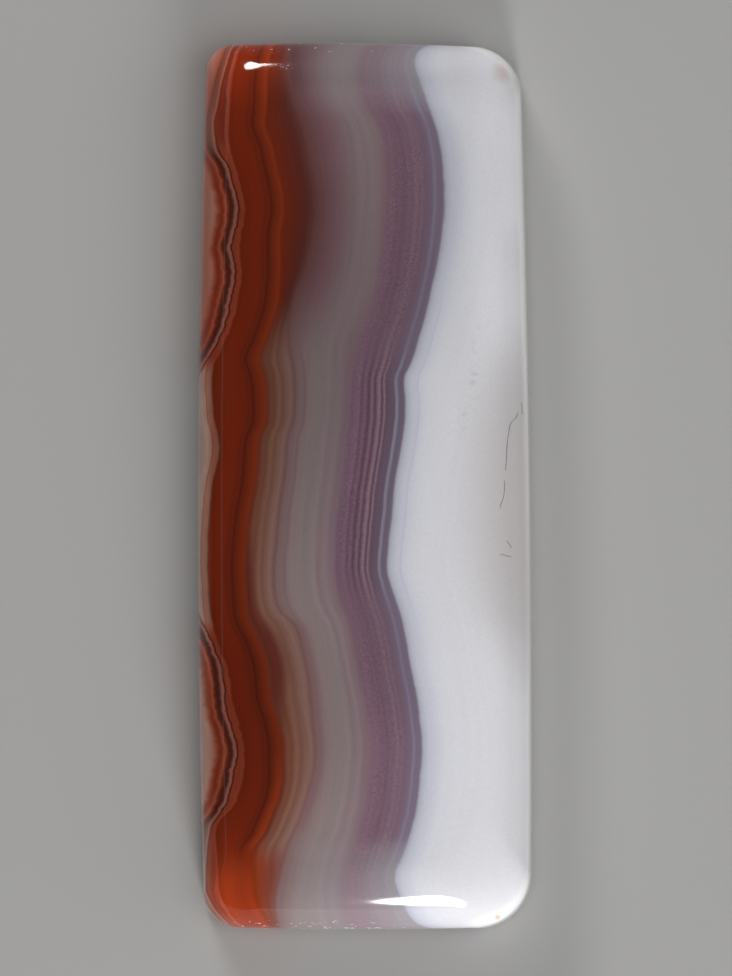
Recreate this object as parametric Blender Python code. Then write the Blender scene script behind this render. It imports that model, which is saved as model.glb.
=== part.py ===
"""Coyamito agate cabochon, one cut and polished stone.

The stone is a long rounded rectangle: a flat lapped back at z = 0 with a small ground bevel,
a nearly upright girdle, a rounded shoulder and a low domed crown. Units are metres.
+Z points out of the crown, +Y runs along the stone and +X across it.
"""

import math
from collections import namedtuple

import bmesh
import bpy
from mathutils import Vector

MM = 0.001

# Overall size.
LENGTH = 40.0 * MM
WIDTH = 15.1 * MM
THICKNESS = 5.2 * MM

# The back bevel is the small 45 degree facet that keeps the lower edge from chipping.
BACK_BEVEL = 0.25 * MM
# The girdle leans in by this much between the bevel and the shoulder.
GIRDLE_LEAN = 0.08 * MM
SHOULDER_START = math.radians(87.9)

# The crown is a shallow dome, curved more across the stone than along it.
CROWN_RADIUS_ACROSS = 55.0 * MM
CROWN_RADIUS_ALONG = 450.0 * MM

# A corner opens out a little as the grinding wheel works up the shoulder.
CORNER_OPENING = 0.25

# How finely the surface is divided.
LONG_SIDE_STEPS = 20
SHORT_SIDE_STEPS = 8
CORNER_STEPS = 8
SHOULDER_STEPS = 9
SHARP_ANGLE = math.radians(30.0)

STONE_COLOUR = (0.23, 0.11, 0.09, 1.0)
STONE_ROUGHNESS = 0.12
STONE_IOR = 1.54

# A side bows outwards: bow is the radius of that curve, and widest is where along the side it
# stands out furthest. corner is the radius of the corner at the side's far end, going
# anticlockwise, and shoulder is the radius that the side is rounded to at the top.
Side = namedtuple("Side", "out run reach bow widest corner shoulder steps")

RIGHT = Side(
    out=Vector((1, 0)),
    run=Vector((0, 1)),
    reach=WIDTH / 2,
    bow=960 * MM,
    widest=-12.0 * MM,
    corner=2.2 * MM,
    shoulder=2.4 * MM,
    steps=LONG_SIDE_STEPS,
)
TOP = Side(
    out=Vector((0, 1)),
    run=Vector((-1, 0)),
    reach=LENGTH / 2,
    bow=131 * MM,
    widest=1.6 * MM,
    corner=1.2 * MM,
    shoulder=2.25 * MM,
    steps=SHORT_SIDE_STEPS,
)
LEFT = Side(
    out=Vector((-1, 0)),
    run=Vector((0, -1)),
    reach=WIDTH / 2,
    bow=560 * MM,
    widest=1.5 * MM,
    corner=1.65 * MM,
    shoulder=2.25 * MM,
    steps=LONG_SIDE_STEPS,
)
BOTTOM = Side(
    out=Vector((0, -1)),
    run=Vector((1, 0)),
    reach=LENGTH / 2,
    bow=217 * MM,
    widest=-0.5 * MM,
    corner=2.5 * MM,
    shoulder=3.0 * MM,
    steps=SHORT_SIDE_STEPS,
)
SIDES = (RIGHT, TOP, LEFT, BOTTOM)


def clear_scene():
    for old in list(bpy.data.objects):
        bpy.data.objects.remove(old, do_unlink=True)


def on_side(side, along, inset):
    """A point of a side's bowed line, moved in by inset, and the line's outward normal."""
    past = along - side.widest
    depth = side.reach - inset - past * past / (2 * side.bow)
    point = side.out * depth + side.run * along
    normal = (side.out + side.run * (past / side.bow)).normalized()
    return point, normal


def corner_of(side, after, insets, radius):
    """Centre of the arc that joins two sides, and how far along each side the arc touches it."""
    centre = (side.out * side.reach) + (after.out * after.reach)
    for _ in range(12):
        leave = centre.dot(side.run)
        join = centre.dot(after.run)
        for _ in range(4):
            leave_normal = on_side(side, leave, insets[0])[1]
            join_normal = on_side(after, join, insets[1])[1]
            leave = centre.dot(side.run) + radius * leave_normal.dot(side.run)
            join = centre.dot(after.run) + radius * join_normal.dot(after.run)
        first = on_side(side, leave, insets[0])[0] - leave_normal * radius
        second = on_side(after, join, insets[1])[0] - join_normal * radius
        centre = side.out * first.dot(side.out) + after.out * second.dot(after.out)
    return centre, leave, join


def outline(insets):
    """One closed contour, anticlockwise, with its shoulder radius at each point.

    It starts in the middle of the lower right corner, so that each quarter of the contour is
    a side with half a corner at either end.
    """
    corners = []
    for index, side in enumerate(SIDES):
        after = SIDES[(index + 1) % 4]
        pair = (insets[index], insets[(index + 1) % 4])
        radius = side.corner + CORNER_OPENING * min(pair)
        corners.append((*corner_of(side, after, pair, radius), radius))

    points = []
    for index, side in enumerate(SIDES):
        after_index = (index + 1) % 4
        after = SIDES[after_index]
        start = corners[index - 1][2]
        centre, end, join, radius = corners[index]
        for step in range(side.steps):
            along = start + (end - start) * step / side.steps
            points.append((on_side(side, along, insets[index])[0], side.shoulder))
        leave_normal = on_side(side, end, insets[index])[1]
        join_normal = on_side(after, join, insets[after_index])[1]
        turn = leave_normal.angle(join_normal)
        heading = math.atan2(leave_normal.y, leave_normal.x)
        for step in range(CORNER_STEPS):
            share = step / CORNER_STEPS
            angle = heading + turn * share
            spoke = Vector((math.cos(angle), math.sin(angle)))
            ease = share * share * (3 - 2 * share)
            shoulder = side.shoulder + (after.shoulder - side.shoulder) * ease
            points.append((centre + spoke * radius, shoulder))
    half = CORNER_STEPS // 2
    return points[-half:] + points[:-half]


def crown_height(point):
    across = point.x * point.x / (2 * CROWN_RADIUS_ACROSS)
    along = point.y * point.y / (2 * CROWN_RADIUS_ALONG)
    return THICKNESS - across - along


def flat_ring(bm, inset, height):
    return [bm.verts.new((p.x, p.y, height)) for p, _ in outline([inset] * 4)]


def shoulder_ring(bm, slope):
    """A ring of the shoulder where the surface slopes by this angle."""
    reach_in = math.sin(SHOULDER_START) - math.sin(slope)
    insets = [GIRDLE_LEAN + side.shoulder * reach_in for side in SIDES]
    ring = []
    for point, shoulder in outline(insets):
        height = crown_height(point) - shoulder * (1 - math.cos(slope))
        ring.append(bm.verts.new((point.x, point.y, height)))
    return ring


def bridge(bm, lower, upper):
    count = len(lower)
    for index in range(count):
        after = (index + 1) % count
        bm.faces.new((lower[index], lower[after], upper[after], upper[index]))


def crown_patch(bm, ring):
    """Fills the crown with a grid that blends between the four quarters of its edge."""
    tall = LONG_SIDE_STEPS + CORNER_STEPS
    wide = SHORT_SIDE_STEPS + CORNER_STEPS
    right = ring[0 : tall + 1]
    top = ring[tall : tall + wide + 1][::-1]
    left = ring[tall + wide : 2 * tall + wide + 1][::-1]
    bottom = ring[2 * tall + wide :] + [ring[0]]
    rows = [bottom]
    for row in range(1, tall):
        v = row / tall
        verts = [left[row]]
        for column in range(1, wide):
            u = column / wide
            ruled = bottom[column].co * (1 - v) + top[column].co * v
            crossed = left[row].co * (1 - u) + right[row].co * u
            near = bottom[0].co * (1 - u) + bottom[-1].co * u
            far = top[0].co * (1 - u) + top[-1].co * u
            place = ruled + crossed - near * (1 - v) - far * v
            verts.append(bm.verts.new((place.x, place.y, crown_height(place))))
        verts.append(right[row])
        rows.append(verts)
    rows.append(top)
    for low, high in zip(rows, rows[1:]):
        for column in range(wide):
            bm.faces.new((low[column], low[column + 1], high[column + 1], high[column]))


def stone_material():
    material = bpy.data.materials.new("banded_agate")
    material.use_nodes = True
    surface = material.node_tree.nodes["Principled BSDF"]
    surface.inputs["Base Color"].default_value = STONE_COLOUR
    surface.inputs["Roughness"].default_value = STONE_ROUGHNESS
    surface.inputs["Metallic"].default_value = 0.0
    surface.inputs["IOR"].default_value = STONE_IOR
    return material


def make_cabochon():
    bm = bmesh.new()
    back = flat_ring(bm, BACK_BEVEL, 0.0)
    rings = [back, flat_ring(bm, 0.0, BACK_BEVEL)]
    for step in range(SHOULDER_STEPS + 1):
        rings.append(shoulder_ring(bm, SHOULDER_START * (1 - step / SHOULDER_STEPS)))
    for lower, upper in zip(rings, rings[1:]):
        bridge(bm, lower, upper)
    bm.faces.new(back[::-1])
    crown_patch(bm, rings[-1])

    mesh = bpy.data.meshes.new("agate_cabochon")
    bm.to_mesh(mesh)
    bm.free()
    mesh.shade_smooth()
    mesh.set_sharp_from_angle(angle=SHARP_ANGLE)
    mesh.materials.append(stone_material())
    stone = bpy.data.objects.new("agate_cabochon", mesh)
    bpy.context.scene.collection.objects.link(stone)
    return stone


clear_scene()
make_cabochon()
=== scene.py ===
import math
import random
from collections import namedtuple

import bpy
import numpy as np
from mathutils import Matrix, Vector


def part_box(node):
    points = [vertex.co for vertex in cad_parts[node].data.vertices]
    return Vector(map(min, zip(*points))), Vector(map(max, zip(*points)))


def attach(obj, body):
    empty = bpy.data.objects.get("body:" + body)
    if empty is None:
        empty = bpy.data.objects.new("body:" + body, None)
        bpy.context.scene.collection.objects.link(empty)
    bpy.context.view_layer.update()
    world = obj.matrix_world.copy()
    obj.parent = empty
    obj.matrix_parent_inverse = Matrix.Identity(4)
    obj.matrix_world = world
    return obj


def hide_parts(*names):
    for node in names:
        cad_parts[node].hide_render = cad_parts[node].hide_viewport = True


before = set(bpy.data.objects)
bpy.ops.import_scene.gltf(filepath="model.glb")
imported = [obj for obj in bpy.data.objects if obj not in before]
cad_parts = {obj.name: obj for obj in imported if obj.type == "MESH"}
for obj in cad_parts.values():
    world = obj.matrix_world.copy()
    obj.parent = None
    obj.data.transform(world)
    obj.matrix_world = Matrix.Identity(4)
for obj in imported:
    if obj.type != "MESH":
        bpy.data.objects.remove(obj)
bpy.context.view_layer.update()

# The cut and polished agate cabochon.
# It is one slice of banded chalcedony, sawn to a long rounded rectangle, ground flat on its back,
# rounded over on a wheel and polished on a felt pad. Its shape comes first, then its bands.

MM = 0.001
LENGTH = 40.0 * MM
WIDTH = 15.1 * MM
THICKNESS = 5.2 * MM
BACK_BEVEL = 0.25 * MM
GIRDLE_LEAN = 0.08 * MM
SHOULDER_START = math.radians(87.9)
CROWN_RADIUS_ACROSS = 55.0 * MM
CROWN_RADIUS_ALONG = 450.0 * MM
CORNER_OPENING = 0.25

# How finely the ground surface is divided, side by side and ring by ring.
LONG_SIDE_STEPS = 276
SHORT_SIDE_STEPS = 108
CORNER_STEPS = 32
SHOULDER_STEPS = 36
BEVEL_STEPS = 3
GIRDLE_STEPS = 9
SHARP_ANGLE = math.radians(24.0)

# A side bows outwards: bow is the radius of that curve, and widest is where along the side it
# stands out furthest. corner is the radius of the corner at its far end, going anticlockwise,
# and shoulder is the radius that the side is rounded to at the top.
Side = namedtuple("Side", "out run reach bow widest corner shoulder steps")
RIGHT = Side(out=(1, 0), run=(0, 1), reach=WIDTH / 2, bow=960 * MM, widest=-12.0 * MM,
             corner=2.2 * MM, shoulder=2.4 * MM, steps=LONG_SIDE_STEPS)
TOP = Side(out=(0, 1), run=(-1, 0), reach=LENGTH / 2, bow=131 * MM, widest=1.6 * MM,
           corner=1.2 * MM, shoulder=2.25 * MM, steps=SHORT_SIDE_STEPS)
LEFT = Side(out=(-1, 0), run=(0, -1), reach=WIDTH / 2, bow=560 * MM, widest=1.5 * MM,
            corner=1.65 * MM, shoulder=2.25 * MM, steps=LONG_SIDE_STEPS)
BOTTOM = Side(out=(0, -1), run=(1, 0), reach=LENGTH / 2, bow=217 * MM, widest=-0.5 * MM,
              corner=2.5 * MM, shoulder=3.0 * MM, steps=SHORT_SIDE_STEPS)
SIDES = (RIGHT, TOP, LEFT, BOTTOM)


def on_side(side, along, inset):
    """Points of a side's bowed line, moved in by inset, and the line's outward normals there."""
    out, run = np.array(side.out, float), np.array(side.run, float)
    past = np.atleast_1d(along) - side.widest
    depth = side.reach - inset - past**2 / (2 * side.bow)
    points = np.outer(depth, out) + np.outer(past + side.widest, run)
    normals = out + np.outer(past / side.bow, run)
    return points, normals / np.linalg.norm(normals, axis=1, keepdims=True)


def corner_of(side, after, insets, radius):
    """Centre of the arc that joins two sides, and how far along each side the arc touches it."""
    side_out, side_run = np.array(side.out, float), np.array(side.run, float)
    after_out, after_run = np.array(after.out, float), np.array(after.run, float)
    centre = side_out * side.reach + after_out * after.reach
    # The centre and the two touching places depend on each other, and settle in a few rounds.
    for _ in range(12):
        leave, join = centre @ side_run, centre @ after_run
        for _ in range(4):
            leave_normal = on_side(side, leave, insets[0])[1][0]
            join_normal = on_side(after, join, insets[1])[1][0]
            leave = centre @ side_run + radius * (leave_normal @ side_run)
            join = centre @ after_run + radius * (join_normal @ after_run)
        first = on_side(side, leave, insets[0])[0][0] - leave_normal * radius
        second = on_side(after, join, insets[1])[0][0] - join_normal * radius
        centre = side_out * (first @ side_out) + after_out * (second @ after_out)
    return centre, leave, join


def outline(insets):
    """One closed contour, anticlockwise from the middle of the lower right corner.

    Gives its points and the shoulder radius at each of them.
    """
    corners = []
    for index, side in enumerate(SIDES):
        pair = (insets[index], insets[(index + 1) % 4])
        radius = side.corner + CORNER_OPENING * min(pair)
        corners.append((*corner_of(side, SIDES[(index + 1) % 4], pair, radius), radius))

    points, shoulders = [], []
    for index, side in enumerate(SIDES):
        after = SIDES[(index + 1) % 4]
        start = corners[index - 1][2]
        centre, end, join, radius = corners[index]
        share = np.arange(side.steps) / side.steps
        points.append(on_side(side, start + (end - start) * share, insets[index])[0])
        shoulders.append(np.full(side.steps, side.shoulder))
        leave_normal = on_side(side, end, insets[index])[1][0]
        join_normal = on_side(after, join, insets[(index + 1) % 4])[1][0]
        turn = math.acos(leave_normal @ join_normal)
        share = np.arange(CORNER_STEPS) / CORNER_STEPS
        angle = math.atan2(leave_normal[1], leave_normal[0]) + turn * share
        points.append(centre + radius * np.column_stack((np.cos(angle), np.sin(angle))))
        ease = share**2 * (3 - 2 * share)
        shoulders.append(side.shoulder + (after.shoulder - side.shoulder) * ease)
    half = CORNER_STEPS // 2
    return np.roll(np.vstack(points), half, axis=0), np.roll(np.concatenate(shoulders), half)


def crown_height(points):
    """How high the dome stands over points of the back."""
    across = points[:, 0] ** 2 / (2 * CROWN_RADIUS_ACROSS)
    along = points[:, 1] ** 2 / (2 * CROWN_RADIUS_ALONG)
    return THICKNESS - across - along


def ring_at(points, heights):
    """Flat points lifted to their heights."""
    return np.column_stack((points, np.broadcast_to(heights, len(points))))


def shoulder_ring(slope):
    """The contour of the shoulder where the surface slopes by this angle."""
    reach_in = math.sin(SHOULDER_START) - math.sin(slope)
    points, shoulders = outline([GIRDLE_LEAN + side.shoulder * reach_in for side in SIDES])
    return ring_at(points, crown_height(points) - shoulders * (1 - math.cos(slope)))


def ground_rings():
    """All contours from the back edge up to where the shoulder meets the crown."""
    rings = []
    for step in range(BEVEL_STEPS + 1):
        rise = BACK_BEVEL * step / BEVEL_STEPS
        rings.append(ring_at(outline([BACK_BEVEL - rise] * 4)[0], rise))
    low, high = rings[-1], shoulder_ring(SHOULDER_START)
    for step in range(1, GIRDLE_STEPS):
        share = (step / GIRDLE_STEPS) ** 2
        rings.append(low * (1 - share) + high * share)
    for step in range(SHOULDER_STEPS + 1):
        rings.append(shoulder_ring(SHOULDER_START * (1 - step / SHOULDER_STEPS)))
    return rings


# Small chips along the lower edge, where a girdle is thinnest and knocks first.
# Each is (how far round from the lower right corner, half its width, depth) in millimetres.
CHIPS_SEEN = (
    (44.6, 0.30, 0.09), (50.7, 0.45, 0.11), (52.3, 0.25, 0.07), (60.9, 0.42, 0.12),
    (62.4, 0.75, 0.15), (63.6, 0.30, 0.10), (95.2, 0.35, 0.10), (97.1, 0.55, 0.12),
    (98.9, 0.30, 0.08), (101.0, 0.50, 0.13), (102.6, 0.28, 0.09),
)
# The rest are small and lie anywhere. A size is half a width in millimetres and a depth is a
# share of that. A chip's middle lies just under the top of the bevel, and its height is
# CHIP_RISE of its width.
SMALL_CHIPS = 46
SMALL_CHIP_SIZES = (0.10, 0.28)
SMALL_CHIP_DEPTHS = (0.2, 0.4)
CHIP_MIDDLE = 0.8 * BACK_BEVEL
CHIP_RISE = 0.9
rng = random.Random(41)


def chip_edge(rings):
    """Knocks shallow shell-shaped chips out of the back bevel and the foot of the girdle."""
    edge = rings[BEVEL_STEPS]
    step = np.roll(edge, -1, axis=0) - edge
    lengths = np.linalg.norm(step, axis=1)
    round_about = np.concatenate(([0.0], np.cumsum(lengths)[:-1]))
    total = lengths.sum()
    tangent = step[:, :2] + np.roll(step, 1, axis=0)[:, :2]
    inward = np.column_stack((-tangent[:, 1], tangent[:, 0]))
    inward /= np.linalg.norm(inward, axis=1, keepdims=True)
    chips = [tuple(value * MM for value in chip) for chip in CHIPS_SEEN]
    for _ in range(SMALL_CHIPS):
        size = rng.uniform(*SMALL_CHIP_SIZES) * MM
        chips.append((rng.uniform(0, total), size, size * rng.uniform(*SMALL_CHIP_DEPTHS)))
    for ring in rings[: BEVEL_STEPS + GIRDLE_STEPS]:
        for place, width, depth in chips:
            aside = (round_about - place + total / 2) % total - total / 2
            up = (ring[:, 2] - CHIP_MIDDLE) / (width * CHIP_RISE)
            bowl = np.clip(1 - (aside / width) ** 2 - up**2, 0, None)
            ring[:, :2] += inward * (depth * np.sqrt(bowl))[:, None]


def crown_patch(ring):
    """Fills the crown with a grid that blends between the four quarters of its edge."""
    tall = LONG_SIDE_STEPS + CORNER_STEPS
    wide = SHORT_SIDE_STEPS + CORNER_STEPS
    flat = ring[:, :2]
    right = flat[: tall + 1]
    top = flat[tall : tall + wide + 1][::-1]
    left = flat[tall + wide : 2 * tall + wide + 1][::-1]
    bottom = np.vstack((flat[2 * tall + wide :], flat[:1]))
    u = np.linspace(0, 1, wide + 1)[None, 1:-1, None]
    v = np.linspace(0, 1, tall + 1)[1:-1, None, None]
    ruled = bottom[None, 1:-1] * (1 - v) + top[None, 1:-1] * v
    crossed = left[1:-1, None] * (1 - u) + right[1:-1, None] * u
    near = bottom[0] * (1 - u) + bottom[-1] * u
    far = top[0] * (1 - u) + top[-1] * u
    inner = (ruled + crossed - near * (1 - v) - far * v).reshape(-1, 2)
    return ring_at(inner, crown_height(inner))


def patch_faces(first_ring, first_inner):
    """Quads of the crown grid, from the vertex numbers of its edge ring and of its inside."""
    tall = LONG_SIDE_STEPS + CORNER_STEPS
    wide = SHORT_SIDE_STEPS + CORNER_STEPS
    grid = np.empty((tall + 1, wide + 1), int)
    grid[1:-1, 1:-1] = first_inner + np.arange((tall - 1) * (wide - 1)).reshape(tall - 1, wide - 1)
    grid[:, -1] = first_ring + np.arange(tall + 1)
    grid[-1, ::-1] = first_ring + tall + np.arange(wide + 1)
    grid[::-1, 0] = first_ring + tall + wide + np.arange(tall + 1)
    grid[0, :-1] = first_ring + 2 * tall + wide + np.arange(wide)
    quads = (grid[:-1, :-1], grid[:-1, 1:], grid[1:, 1:], grid[1:, :-1])
    return np.stack([corner.ravel() for corner in quads], axis=1)


def grind_stone(name):
    """The whole stone as one closed mesh: back, bevel, girdle, shoulder and crown."""
    rings = ground_rings()
    chip_edge(rings)
    count = len(rings[0])
    points = np.vstack((*rings, crown_patch(rings[-1])))
    around = np.arange(count)
    after = (around + 1) % count
    faces = [tuple(around[::-1])]
    for level in range(len(rings) - 1):
        low, high = level * count, (level + 1) * count
        faces += np.column_stack((low + around, low + after, high + after, high + around)).tolist()
    faces += patch_faces((len(rings) - 1) * count, len(rings) * count).tolist()

    # The fine surface is fitted into the space that the plain solid holds.
    lowest, highest = (np.array(corner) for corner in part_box("agate_cabochon"))
    middle = (points.max(axis=0) + points.min(axis=0)) / 2
    fit = np.minimum((highest - lowest) / np.ptp(points, axis=0), 1.0)
    points = (lowest + highest) / 2 + (points - middle) * fit

    mesh = bpy.data.meshes.new(name)
    mesh.from_pydata(points.tolist(), [], faces)
    mesh.validate()
    mesh.shade_smooth()
    mesh.set_sharp_from_angle(angle=SHARP_ANGLE)
    ground = bpy.data.objects.new(name, mesh)
    bpy.context.scene.collection.objects.link(ground)
    return ground


stone = grind_stone("banded_cabochon")


# The growth bands of the agate.
# Silica settled in thin layers on the wall of a cavity, from the red and maroon lace at the left
# wall through grey and plum to the milky quartz on the right, so every band follows a front.

def feed(tree, socket, value):
    """Joins a socket to another one, or sets its plain value."""
    if isinstance(value, bpy.types.NodeSocket):
        tree.links.new(value, socket)
    else:
        socket.default_value = value


def reckon(tree, operation, *values):
    """One step of arithmetic on sockets or plain numbers."""
    node = tree.nodes.new("ShaderNodeMath")
    node.operation = operation
    for socket, value in zip(node.inputs, values):
        feed(tree, socket, value)
    return node.outputs[0]


def climb(tree, value, low, high, start=0.0, end=1.0):
    """Eases from start to end while the value goes from low to high."""
    node = tree.nodes.new("ShaderNodeMapRange")
    node.interpolation_type = "SMOOTHSTEP"
    for socket, number in zip(node.inputs, (value, low, high, start, end)):
        feed(tree, socket, number)
    return node.outputs[0]


def stretch_of(tree, value, low, high, ease):
    """One between low and high, easing to nothing on either side."""
    rise = climb(tree, value, low - ease, low + ease)
    fall = climb(tree, value, high - ease, high + ease, 1.0, 0.0)
    return reckon(tree, "MULTIPLY", rise, fall)


def hairline(tree, distance, middle, width):
    """One on a thin line at this distance, easing to nothing at width from it."""
    aside = reckon(tree, "ABSOLUTE", reckon(tree, "SUBTRACT", distance, middle))
    return climb(tree, aside, 0.0, width, 1.0, 0.0)


def stain(tree, share, under, over, how="MIX"):
    """Lays one colour over another, by a share from 0 to 1."""
    node = tree.nodes.new("ShaderNodeMix")
    node.data_type = "RGBA"
    node.blend_type = how
    feed(tree, node.inputs["Factor"], share)
    # A Mix node has sockets for each kind of value: colours go in at 6 and 7 and come out at 2.
    feed(tree, node.inputs[6], under)
    feed(tree, node.inputs[7], over)
    return node.outputs[2]


# Band colours are written as they look on a screen under the studio light, which lights a
# perfectly white level surface to STUDIO_LIGHT of full brightness. The polish mirrors a little
# light on top of that, which the colour leaves out.
STUDIO_LIGHT = 0.805
SHEEN_LEFT_OUT = 0.0012
PALEST_BAND = 0.92


def pigment(red, green, blue):
    """The stone's own colour, from the way it looks in the finished picture."""
    def plain(level):
        level = level / 255
        light = level / 12.92 if level <= 0.04045 else ((level + 0.055) / 1.055) ** 2.4
        return min(max(light - SHEEN_LEFT_OUT, 0.0) / STUDIO_LIGHT, PALEST_BAND)

    return (plain(red), plain(green), plain(blue), 1.0)


def bands(tree, distance, stops):
    """A run of colours across the layers. Each stop is (distance, colour)."""
    first, last = stops[0][0], stops[-1][0]
    spread = tree.nodes.new("ShaderNodeMapRange")
    for socket, number in zip(spread.inputs, (distance, first, last, 0.0, 1.0)):
        feed(tree, socket, number)
    node = tree.nodes.new("ShaderNodeValToRGB")
    elements = node.color_ramp.elements
    elements[0].position, elements[1].position = 0.0, 1.0
    elements[0].color, elements[1].color = stops[0][1], stops[-1][1]
    for place, colour in stops[1:-1]:
        elements.new((place - first) / (last - first)).color = colour
    tree.links.new(spread.outputs[0], node.inputs[0])
    return node.outputs[0]


def cloud(tree, place, scale, detail=2.0, roughness=0.5):
    """Soft random values around 0.5."""
    node = tree.nodes.new("ShaderNodeTexNoise")
    feed(tree, node.inputs["Vector"], place)
    feed(tree, node.inputs["Scale"], scale)
    feed(tree, node.inputs["Detail"], detail)
    feed(tree, node.inputs["Roughness"], roughness)
    return node.outputs[0]


def unrest(tree, place, scale, detail=2.0, roughness=0.5):
    """Soft random values around zero."""
    return reckon(tree, "SUBTRACT", cloud(tree, place, scale, detail, roughness), 0.5)


def drawn(tree, along, points, low, high):
    """A drawn curve: (along the stone, value) points, with values from low to high."""
    reach = LENGTH / 2 / MM
    share = reckon(tree, "MULTIPLY_ADD", along, 0.5 / reach, 0.5)
    node = tree.nodes.new("ShaderNodeFloatCurve")
    curve = node.mapping.curves[0]
    ordered = sorted(points)
    ends = (curve.points[0], curve.points[-1])
    for point, (place, value) in zip(ends, (ordered[0], ordered[-1])):
        point.location = (0.5 + place * 0.5 / reach, (value - low) / (high - low))
    for place, value in ordered[1:-1]:
        curve.points.new(0.5 + place * 0.5 / reach, (value - low) / (high - low))
    node.mapping.update()
    tree.links.new(share, node.inputs["Value"])
    return reckon(tree, "MULTIPLY_ADD", node.outputs[0], high - low, low)


def axes(tree, vector):
    """The x, y and z of a vector."""
    node = tree.nodes.new("ShaderNodeSeparateXYZ")
    feed(tree, node.inputs[0], vector)
    return node.outputs


def vector_of(tree, x, y, z):
    """A vector from its x, y and z."""
    node = tree.nodes.new("ShaderNodeCombineXYZ")
    for socket, value in zip(node.inputs, (x, y, z)):
        feed(tree, socket, value)
    return node.outputs[0]


def new_group(name, inputs, outputs):
    """An empty node group, with the sockets that it reads and those that it fills."""
    group = bpy.data.node_groups.new(name, "ShaderNodeTree")
    for label, kind in inputs:
        group.interface.new_socket(label, in_out="INPUT", socket_type=kind)
    for label, kind in outputs:
        group.interface.new_socket(label, in_out="OUTPUT", socket_type=kind)
    return group, group.nodes.new("NodeGroupInput").outputs, group.nodes.new("NodeGroupOutput").inputs


# Where each front lies on the crown: (along the stone, across it) in millimetres, from the top
# end, where along is positive, to the bottom end.
RIM = (
    (20.0, -6.00), (17.8, -6.05), (15.6, -6.14), (14.9, -6.02), (14.3, -5.82), (13.2, -5.53),
    (12.3, -5.43), (11.2, -5.60), (10.6, -5.66), (10.0, -5.58), (8.6, -5.70), (7.5, -5.95),
    (6.7, -6.26), (5.9, -6.62), (5.4, -6.83), (3.2, -6.80), (2.3, -6.60), (1.8, -6.55),
    (0.9, -6.68), (0.2, -6.86), (-6.2, -6.86), (-7.1, -6.58), (-8.1, -6.21), (-9.4, -6.00),
    (-10.7, -5.66), (-11.9, -5.44), (-13.4, -5.60), (-14.4, -6.00), (-15.3, -6.68),
    (-16.5, -6.66), (-20.0, -6.45),
)
THREAD = (
    (20.0, -6.50), (18.0, -6.60), (17.2, -6.72), (16.6, -6.88), (15.8, -6.86), (15.2, -6.74),
    (14.4, -6.27), (13.7, -6.08), (12.8, -5.83), (12.1, -5.83), (11.3, -6.00), (10.75, -6.12),
    (10.0, -5.96), (9.2, -6.00), (8.4, -6.16), (7.3, -6.42), (6.3, -6.86), (5.5, -7.40),
    (4.4, -7.90), (-4.9, -7.90), (-5.8, -7.60), (-6.5, -7.22), (-7.1, -6.92), (-7.9, -6.63),
    (-8.9, -6.46), (-9.6, -6.40), (-10.3, -6.28), (-11.0, -6.02), (-11.9, -5.86), (-12.8, -6.02),
    (-13.7, -6.20), (-14.6, -6.58), (-15.3, -7.02), (-20.0, -7.15),
)
EMBER = (
    (20.0, -4.46), (16.9, -4.50), (16.4, -4.56), (15.4, -4.26), (14.2, -3.96), (12.6, -3.69),
    (11.3, -3.87), (9.7, -3.86), (8.4, -3.98), (7.4, -4.26), (6.5, -4.60), (5.8, -4.85),
    (4.9, -4.61), (3.9, -4.51), (2.9, -4.56), (2.2, -4.82), (0.0, -5.05), (-1.4, -5.31),
    (-3.6, -5.48), (-4.9, -5.42), (-6.0, -5.30), (-6.7, -4.96), (-7.8, -4.54), (-9.6, -4.29),
    (-10.4, -4.06), (-11.2, -3.88), (-12.6, -3.80), (-13.6, -3.87), (-14.6, -4.20),
    (-15.6, -4.62), (-16.4, -5.10), (-17.2, -5.13), (-20.0, -4.90),
)
HAZE = (
    (20.0, -3.60), (17.6, -3.30), (16.0, -2.69), (14.8, -2.50), (12.9, -2.17), (11.7, -2.28),
    (9.9, -2.69), (8.3, -3.28), (7.1, -3.41), (5.0, -3.19), (3.9, -3.14), (3.0, -3.22),
    (2.2, -3.46), (0.6, -3.61), (-1.0, -3.85), (-2.4, -3.97), (-3.7, -4.10), (-4.7, -4.06),
    (-5.5, -3.80), (-6.3, -3.05), (-7.2, -2.78), (-8.7, -2.48), (-10.3, -2.33), (-12.2, -2.22),
    (-13.6, -2.50), (-14.9, -2.90), (-16.2, -3.50), (-20.0, -4.30),
)
PLUM = (
    (20.0, -0.80), (18.8, -0.52), (17.2, -0.10), (16.1, 0.56), (14.5, 0.79), (12.3, 0.74),
    (10.1, 0.57), (8.4, 0.24), (6.3, -0.52), (4.6, -0.73), (3.0, -0.84), (0.8, -1.06),
    (-0.9, -1.29), (-3.0, -1.44), (-4.1, -1.39), (-5.2, -1.17), (-6.0, -0.84), (-8.3, -0.40),
    (-10.4, 0.02), (-11.6, 0.13), (-13.2, 0.03), (-15.3, -0.31), (-17.0, -0.85), (-20.0, -1.50),
)
MILK = (
    (20.0, 1.40), (19.2, 1.80), (18.0, 2.46), (16.8, 2.93), (15.7, 3.28), (14.5, 3.46),
    (13.1, 3.54), (11.5, 3.43), (10.2, 3.23), (8.4, 2.83), (6.6, 2.37), (5.5, 2.00),
    (4.9, 1.76), (3.8, 1.78), (2.5, 1.71), (1.4, 1.52), (0.3, 1.33), (-1.3, 1.18),
    (-2.4, 1.05), (-3.75, 0.98), (-4.2, 1.08), (-5.9, 1.62), (-8.0, 2.02), (-9.7, 2.35),
    (-10.8, 2.48), (-12.1, 2.51), (-13.3, 2.42), (-14.5, 2.25), (-15.7, 1.95), (-16.7, 1.57),
    (-17.5, 1.24), (-18.3, 1.32), (-20.0, 1.45),
)
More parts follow.
